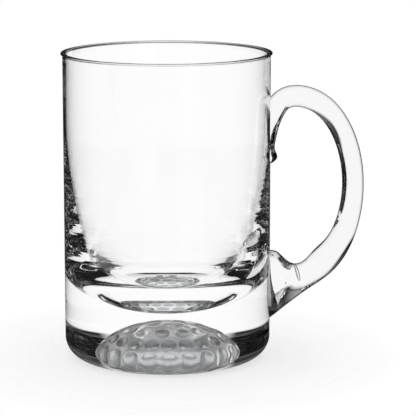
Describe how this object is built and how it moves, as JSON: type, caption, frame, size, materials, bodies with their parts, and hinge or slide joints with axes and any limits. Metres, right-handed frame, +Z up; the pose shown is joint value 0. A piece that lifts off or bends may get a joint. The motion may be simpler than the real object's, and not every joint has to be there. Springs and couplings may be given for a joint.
{
  "type": "beer mug",
  "caption": "Clear glass beer mug with a straight thin-lipped body, a heavy base with a dimpled dome pressed up into it, and a drawn loop handle on one side.",
  "frame": {"origin": "on the mug's axis, at the level of the flat ring that it stands on", "axes": "+Z up along the mug's axis, +X towards the handle, +Y away from the picture's camera"},
  "size_m": [0.1291, 0.0896, 0.131],
  "materials": {
    "body_glass": "clear, fire-polished, with a soft moulded finish on the dome",
    "handle_glass": "clear, hand-drawn, slightly wavy"
  },
  "bodies": {
    "root": {"mug_body": "body_glass", "handle": "handle_glass"}
  },
  "joints": []
}
